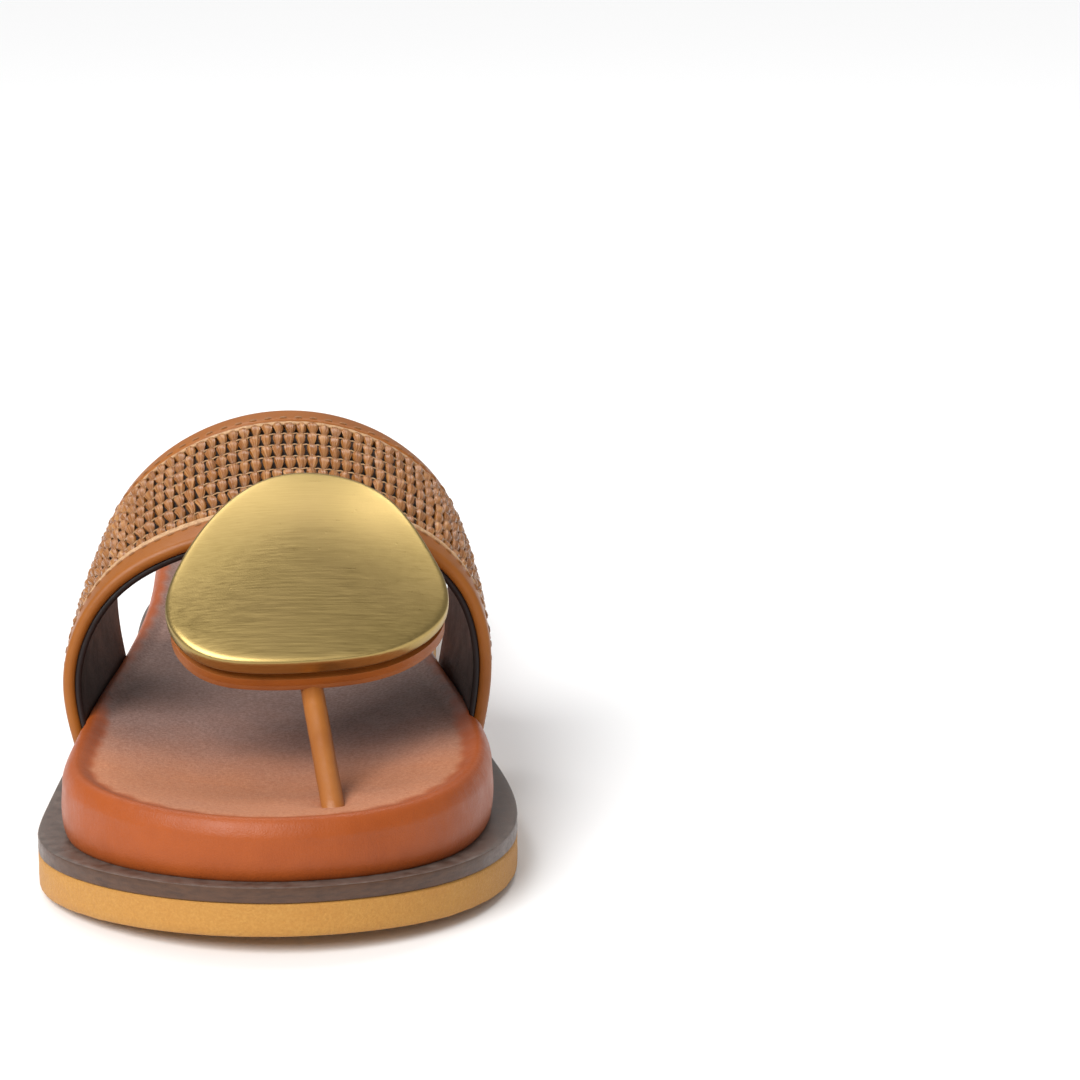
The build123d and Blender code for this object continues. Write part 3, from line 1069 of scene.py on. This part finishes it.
def buildTab():
    tab = cadCopy("ornament_tab", "ornamentTab", 0.35 * mm)
    dress(tab, smoothLeather("tabLeather", (0.42, 0.125, 0.018), (0.29, 0.082, 0.013), 0.4, 0.55, 2400, 0.35))
    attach(tab, "root")
    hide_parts("ornament_tab")
    backing = cadCopy("ornament_tab_lining", "ornamentTabLining", 0.25 * mm)
    dress(backing, smoothLeather("tabLiningLeather", (0.42, 0.15, 0.045), (0.30, 0.095, 0.026), 0.45, 0.6, 2400, 0.3))
    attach(backing, "root")
    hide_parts("ornament_tab_lining")
    return tab, backing


post = dict(
    foot=Vector((10.7, -105.3, 20.2)) * mm, head=Vector((6.2, -79.6, 40.0)) * mm,
    radius=2.3 * mm, sides=20, rings=46,
)


def buildPost():
    # leather rolled round a cord: a butt seam up the back, a flare into the tab, a little slack at the hole
    start = post["foot"] - Vector((0, 0, 6)) * mm
    lean = (post["head"] - post["foot"]).normalized()
    end = post["head"] + lean * 1.2 * mm
    upright = (post["foot"] - start).length
    total = upright + (end - post["foot"]).length
    soft = 2.2 * mm

    def route(v):
        gone = v * total - upright
        if gone < -soft:
            return start + Vector((0, 0, v * total))
        if gone > soft:
            return post["foot"] + lean * gone
        share = (gone + soft) / (2 * soft)
        entry = post["foot"] - Vector((0, 0, soft))
        leave = post["foot"] + lean * soft
        return entry.lerp(post["foot"], share).lerp(post["foot"].lerp(leave, share), share)

    def place(u, v):
        at = route(v)
        way = (route(min(v + 0.01, 1)) - route(max(v - 0.01, 0))).normalized()
        right = way.cross(Vector((0, 1, 0.3))).normalized()
        up = right.cross(way).normalized()
        turn = 2 * math.pi * (round(u * post["sides"]) % post["sides"]) / post["sides"]
        flare = 1 + 0.35 * max(0, (v - 0.9) / 0.1) ** 2
        seam = 0.16 * mm * math.exp(-((((turn - 1.5 * math.pi) + math.pi) % (2 * math.pi) - math.pi) / 0.16) ** 2)
        slack = 0.07 * mm * noise.noise(Vector((turn * 0.8, v * 14, 3)))
        size = post["radius"] * flare - seam + slack
        return at + (right * math.cos(turn) + up * math.sin(turn)) * size

    piece = gridPiece("toePostSleeve", post["sides"], post["rings"], place, 60, closeEnds=True)
    dress(piece, smoothLeather("postLeather", (0.40, 0.145, 0.030), (0.31, 0.10, 0.019), 0.3, 0.42, 2800, 0.25))
    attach(piece, "root")
    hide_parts("toe_post_sleeve")
    return piece


def dressHidden():
    # pieces inside the shoe keep their CAD shape and get a proper finish
    board = plainCloth("fibreBoard", (0.32, 0.24, 0.16), (0.50, 0.40, 0.28), 500, 0.85)
    cord = plainCloth("postCord", (0.5, 0.42, 0.30), (0.68, 0.6, 0.46), 1800, 0.7)
    metal = plainMetal()
    finishes = {
        "insole_board": board, "toe_post_core": cord, "toe_post_anchor": metal,
        "ornament_studs": metal, "ornament_washers": metal, "ornament_stud_caps": metal,
    }
    for name, material in finishes.items():
        dress(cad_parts[name], material)


# ---- build

buildOutsole()
buildWelt()
print("sole built")
footbedPiece = buildFootbed()
buildLining()
buildBacking()
buildRaffia()
buildCords()
buildBindings()
buildStitching()
print("strap built")


def liningReach(spot):
    # how far out the strap's inner face lies beside a point of the footbed, and how firmly it presses there
    front = strapSpot(0.02, 0.0).y
    rear = strapSpot(0.02, 1.0).y
    held = min(max(spot.y, front + 1.5 * mm), rear - 1.5 * mm)
    side = -1 if spot.x < 0 else 1
    hit = liningTree.ray_cast(Vector((0, held, max(spot.z, sole["weltTop"] + 0.2 * mm))), Vector((side, 0, 0)))[0]
    if hit is None:
        return 0.0, 0.0
    away = max(front - 0.4 * mm - spot.y, spot.y - rear - 0.4 * mm, 0.0)
    return abs(hit.x), 1 - smoothStep(away / (2.2 * mm))


pressFootbed(footbedPiece, liningReach)
treadAndShadeMask(footbedPiece)
finishMesh(footbedPiece, 60)
dress(footbedPiece, footbedLeather())
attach(footbedPiece, "root")
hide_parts("footbed_cover", "footbed_foam", "footbed_core")
print("footbed built")
buildDisc()
buildTab()
buildPost()
dressHidden()
print("ornament and post built")

# ---- floor, light and camera

studio = dict(
    floor=(0.93, 0.93, 0.93), sky=0.36, sun=3.05, sunSpread=40, sunWay=(0.46, 0.54, -0.70),
    lens=116.7, place=(0.0129, -0.7558, 0.2389), pitch=14.13, yaw=-3.34,
)

clearSelection()
bpy.ops.mesh.primitive_plane_add(size=8, location=(0, 0, 0))
floor = bpy.context.object
floor.name = "studioFloor"
floorMaterial = newMaterial("floorPaper")
dress(floor, shader(floorMaterial, studio["floor"], 0.9))

world = bpy.data.worlds.new("studioWorld")
bpy.context.scene.world = world
world.use_nodes = True
world.node_tree.nodes["Background"].inputs["Color"].default_value = (1, 1, 1, 1)
world.node_tree.nodes["Background"].inputs["Strength"].default_value = studio["sky"]


def softbox(name, place, aim, size, power):
    light = bpy.data.lights.new(name, "AREA")
    light.shape = "RECTANGLE"
    light.size = size[0]
    light.size_y = size[1]
    light.energy = power
    lamp = bpy.data.objects.new(name, light)
    bpy.context.collection.objects.link(lamp)
    lamp.location = place
    lamp.rotation_euler = (Vector(aim) - Vector(place)).to_track_quat("-Z", "Y").to_euler()
    return lamp


softbox("rearLeftSoftbox", (-0.28, 0.44, 0.95), (0, -0.07, 0.06), (0.46, 0.40), 2.3)
softbox("rearRightSoftbox", (0.25, 0.42, 0.97), (0, -0.07, 0.06), (0.28, 0.34), 1.7)
softbox("frontSoftbox", (-0.05, -1.1, 0.62), (0, -0.05, 0.04), (0.8, 0.16), 1.0)

# one broad lamp keeps the paper evenly white
skylight = bpy.data.lights.new("skylight", "SUN")
skylight.energy = studio["sun"]
skylight.angle = math.radians(studio["sunSpread"])
skyLamp = bpy.data.objects.new("skylight", skylight)
bpy.context.collection.objects.link(skyLamp)
skyLamp.rotation_euler = Vector(studio["sunWay"]).to_track_quat("-Z", "Y").to_euler()

camera = bpy.data.objects.new("camera", bpy.data.cameras.new("camera"))
bpy.context.collection.objects.link(camera)
camera.data.sensor_width = 36
camera.data.lens = studio["lens"]
camera.location = studio["place"]
camera.rotation_euler = (math.radians(90 - studio["pitch"]), 0, math.radians(studio["yaw"]))
camera.data.clip_end = 20
bpy.context.scene.camera = camera
bpy.context.scene.view_settings.view_transform = "Standard"

print("scene ready")
